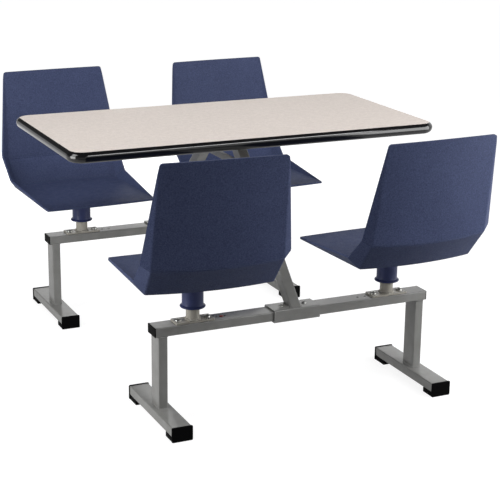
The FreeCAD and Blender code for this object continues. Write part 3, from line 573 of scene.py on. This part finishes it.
def make_end_plugs():
    """Thin rims over the beam ends, each with a stub in the tube."""
    wide, high = TUBE[0] / 2, TUBE[1] / 2
    plug = bmesh.new()
    brick(plug, (0, -wide, -high), (2.5, wide, high), 2.0, 0)
    brick(plug, (-16, -wide + 2.7, -high + 2.7), (0.2, wide - 2.7, high - 2.7), 1.0, 0, 2)
    places = []
    for end, side in CORNERS.values():
        turn = Matrix.Rotation(0.0 if end > 0 else math.pi, 4, "Z")
        places.append(Matrix.Translation((end * BEAM_END, side * BEAM_Y, BEAM_TOP - high)) @ turn)
    plugs = make_piece("beam_end_caps", put_copies(plug, places), BLACK, "frame",
                       ("beam_end_plugs",))
    soft_edges(plugs, 0.8, 50.0, 3)


# ---------------------------------------------------------------- weld beads
BEAD_PITCH = 3.2       # from one ripple to the next


def bead_line(start, end):
    """Places for the ripples of a weld from one point to another."""
    start, end = Vector(start), Vector(end)
    count = max(2, round((end - start).length / BEAD_PITCH))
    return [Matrix.Translation(start.lerp(end, (i + 0.5) / count)) for i in range(count)]


def bead_ring(centre, radius):
    count = round(math.tau * radius / BEAD_PITCH)
    middle = Matrix.Translation(centre)
    return [middle @ Matrix.Rotation(math.tau * i / count, 4, "Z") @ Matrix.Translation((radius, 0, 0))
            for i in range(count)]


def ripple(size):
    """One frozen ripple of weld metal."""
    mesh = bmesh.new()
    bmesh.ops.create_uvsphere(mesh, u_segments=8, v_segments=5, radius=size)
    return mesh


def make_welds():
    rings, seams = [], []
    for end, side in CORNERS.values():
        x, y = end * LEG_X, side * BEAM_Y
        rings += bead_ring((end * POST_X, y, PLATE_TOP + 1.4), 21.2)
        for edge in (-1, 1):
            for level in (43.6, BEAM_BOTTOM - 0.6):
                seams += bead_line((x - 12, y + edge * 30.2, level), (x + 12, y + edge * 30.2, level))
                seams += bead_line((x + edge * 14.2, y - 28, level), (x + edge * 14.2, y + 28, level))
    for side in (-1, 1):
        foot_y = side * BEAM_Y
        for edge in (-1, 1):
            seams += bead_line((edge * 17.6, foot_y - 24, SLEEVE_TOP + 0.4),
                               (edge * 17.6, foot_y + 24, SLEEVE_TOP + 0.4))
            seams += bead_line((-15, foot_y + edge * 27, SLEEVE_TOP + 0.4),
                               (15, foot_y + edge * 27, SLEEVE_TOP + 0.4))
    make_piece("post_welds", put_copies(ripple(3.0), rings), STUB)
    make_piece("frame_welds", put_copies(ripple(1.9), seams), FRAME)


# ---------------------------------------------------------------- the object
make_shells()
make_cups()
make_edge_band()
make_fasteners()
make_foot_caps()
make_end_plugs()
make_welds()

for corner in CORNERS:
    for node in ("beam_", "leg_", "foot_"):
        eased_copy(node + corner, FRAME)
    eased_copy("post_" + corner, STUB)
    eased_copy("seat_bracket_" + corner, BRACKET, "seat_" + corner)
for row in ("front", "back"):
    for node in ("strut_", "sleeve_", "top_rail_"):
        eased_copy(node + row, FRAME)
eased_copy("tie_bar", FRAME)
eased_copy("thrust_washers", BRONZE, width=0.3)

FINISHES = {"table_laminate": LAMINATE, "table_core": BOARD, "table_backer": BACKING, "red_plug": RED,
            "top_screws": ZINC, "seat_screws": ZINC, "sleeve_nuts": ZINC, "plate_nuts": ZINC,
            "stop_washers": ZINC, "axle_screws": ZINC, "seat_bush": BRONZE}
for name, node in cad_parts.items():
    for start, material in FINISHES.items():
        if name.startswith(start):
            node.data.materials.clear()
            node.data.materials.append(material)


# ---------------------------------------------------------------- floor, light and camera
def make_floor():
    # Matt white studio floor: it shows white to the camera and keeps the object's soft shadow. What
    # the object mirrors of it is bright behind and beside the object and dim in front of it.
    mesh = bmesh.new()
    bmesh.ops.create_grid(mesh, x_segments=1, y_segments=1, size=12.0)
    bmesh.ops.translate(mesh, vec=(0, 0, -0.0005), verts=mesh.verts)
    data = bpy.data.meshes.new("floor")
    mesh.to_mesh(data)
    mesh.free()
    floor = bpy.data.objects.new("floor", data)
    bpy.context.collection.objects.link(floor)
    material = bpy.data.materials.new("floor_matt_white")
    material.use_nodes = True
    tree = material.node_tree
    tree.nodes.clear()
    path = add(tree, "ShaderNodeLightPath")
    where = add(tree, "ShaderNodeTexCoord").outputs["Object"]
    away = add(tree, "ShaderNodeVectorMath", {0: where}, operation="LENGTH")
    depth = add(tree, "ShaderNodeSeparateXYZ", {"Vector": where}).outputs["Y"]
    shown = add(tree, "ShaderNodeMapRange", {"Value": away.outputs["Value"], "From Min": 1.0,
                                             "From Max": 3.0, "To Min": 0.86, "To Max": 1.0},
                interpolation_type="SMOOTHSTEP")
    mirrored = add(tree, "ShaderNodeMapRange", {"Value": away.outputs["Value"], "From Min": 1.0,
                                                "From Max": 3.0, "To Min": 0.4, "To Max": 1.0},
                   interpolation_type="SMOOTHSTEP")
    far_off = add(tree, "ShaderNodeMapRange", {"Value": away.outputs["Value"], "From Min": 5.0,
                                               "From Max": 9.0, "To Min": 1.0, "To Max": 0.1},
                  interpolation_type="SMOOTHSTEP")
    front = add(tree, "ShaderNodeMapRange", {"Value": depth, "From Min": -1.4, "From Max": -0.4,
                                             "To Min": 0.1, "To Max": 1.0},
                interpolation_type="SMOOTHSTEP")
    near = add(tree, "ShaderNodeMath", {0: mirrored.outputs["Result"], 1: far_off.outputs["Result"]},
               operation="MULTIPLY")
    dimmed = add(tree, "ShaderNodeMath", {0: near.outputs[0], 1: front.outputs["Result"]},
                 operation="MULTIPLY")
    to_camera = add(tree, "ShaderNodeMath", {0: path.outputs["Is Camera Ray"], 1: shown.outputs["Result"]},
                    operation="MULTIPLY")
    lift = add(tree, "ShaderNodeMath", {0: path.outputs["Is Glossy Ray"], 1: dimmed.outputs[0],
                                        2: to_camera.outputs[0]}, operation="MULTIPLY_ADD")
    matt = add(tree, "ShaderNodeBsdfDiffuse", {"Color": (0.27, 0.27, 0.27, 1.0)})
    glow = add(tree, "ShaderNodeEmission", {"Strength": lift.outputs[0]})
    both = add(tree, "ShaderNodeAddShader", {0: matt.outputs[0], 1: glow.outputs[0]})
    add(tree, "ShaderNodeOutputMaterial", {"Surface": both.outputs[0]})
    data.materials.append(material)


def make_world():
    world = bpy.data.worlds.new("studio")
    world.use_nodes = True
    tree = world.node_tree
    tree.nodes.clear()
    # White all round. In what the object mirrors, the ceiling is dark, and on the left the dark
    # starts just over the horizon.
    path = add(tree, "ShaderNodeLightPath")
    facing = add(tree, "ShaderNodeTexCoord").outputs["Object"]
    way = add(tree, "ShaderNodeSeparateXYZ", {"Vector": facing})
    starts = add(tree, "ShaderNodeMapRange", {"Value": way.outputs["X"], "From Min": -0.05,
                                              "From Max": 0.25, "To Min": -0.04, "To Max": 0.4})
    ends = add(tree, "ShaderNodeMath", {0: starts.outputs["Result"], 1: 0.2}, operation="ADD")
    ceiling = add(tree, "ShaderNodeMapRange", {"Value": way.outputs["Z"],
                                               "From Min": starts.outputs["Result"],
                                               "From Max": ends.outputs[0],
                                               "To Min": 1.0, "To Max": 0.05},
                  interpolation_type="SMOOTHSTEP")
    shown = add(tree, "ShaderNodeMapRange", {"Value": path.outputs["Is Camera Ray"], "To Min": 0.02,
                                             "To Max": 1.0})
    level = add(tree, "ShaderNodeMath", {0: path.outputs["Is Glossy Ray"], 1: ceiling.outputs["Result"],
                                         2: shown.outputs["Result"]}, operation="MULTIPLY_ADD")
    sky = add(tree, "ShaderNodeBackground", {"Color": (1, 1, 1, 1), "Strength": level.outputs[0]})
    add(tree, "ShaderNodeOutputWorld", {"Surface": sky.outputs[0]})
    bpy.context.scene.world = world


def soft_box(name, place, target, size, power, mirrored=True):
    light = bpy.data.lights.new(name, "AREA")
    light.shape = "RECTANGLE"
    light.size, light.size_y = size
    light.energy = power
    lamp = bpy.data.objects.new(name, light)
    bpy.context.collection.objects.link(lamp)
    aim = (Vector(target) - Vector(place)).to_track_quat("-Z", "Y")
    lamp.matrix_world = Matrix.Translation(place) @ aim.to_matrix().to_4x4()
    lamp.visible_camera = False
    lamp.visible_glossy = mirrored


def make_camera():
    yaw, pitch, roll = 0.43579, -0.28915, 0.01274
    forward = Vector((math.sin(yaw) * math.cos(pitch), math.cos(yaw) * math.cos(pitch), math.sin(pitch)))
    level = Vector((math.cos(yaw), -math.sin(yaw), 0))
    up = level.cross(forward)
    right = math.cos(roll) * level + math.sin(roll) * up
    above = math.cos(roll) * up - math.sin(roll) * level
    lens = bpy.data.cameras.new("camera")
    lens.sensor_width = 36.0
    lens.lens = 100.87
    lens.clip_end = 100.0
    camera = bpy.data.objects.new("camera", lens)
    bpy.context.collection.objects.link(camera)
    turn = Matrix((right, above, -forward)).transposed().to_4x4()
    camera.matrix_world = Matrix.Translation((-1.7836, -4.0348, 1.6380)) @ turn
    bpy.context.scene.camera = camera


make_floor()
make_world()
soft_box("top_light", (0.3, 1.1, 3.0), (0.2, 0.2, 0.5), (3.2, 3.2), 26.5, False)
soft_box("middle_light", (0.2, -0.3, 3.0), (0.0, 0.0, 0.5), (1.2, 1.2), 18.0, False)
soft_box("left_light", (-2.1, -0.4, 0.7), (0.0, -0.2, 0.4), (1.0, 1.0), 27.0)
soft_box("high_left_light", (-2.0, -0.4, 1.9), (0.0, -0.2, 0.4), (1.0, 1.0), 19.0)
soft_box("right_light", (1.55, -1.25, 0.85), (0.3, -0.45, 0.4), (1.3, 1.3), 30.0)
soft_box("front_light", (1.0, -2.4, 2.4), (-0.1, -0.3, 0.7), (1.8, 0.35), 32.0)
soft_box("back_light", (0.4, 3.0, 0.8), (0.0, 0.4, 0.5), (1.8, 1.4), 42.0, False)
make_camera()

bpy.context.scene.view_settings.view_transform = "Standard"
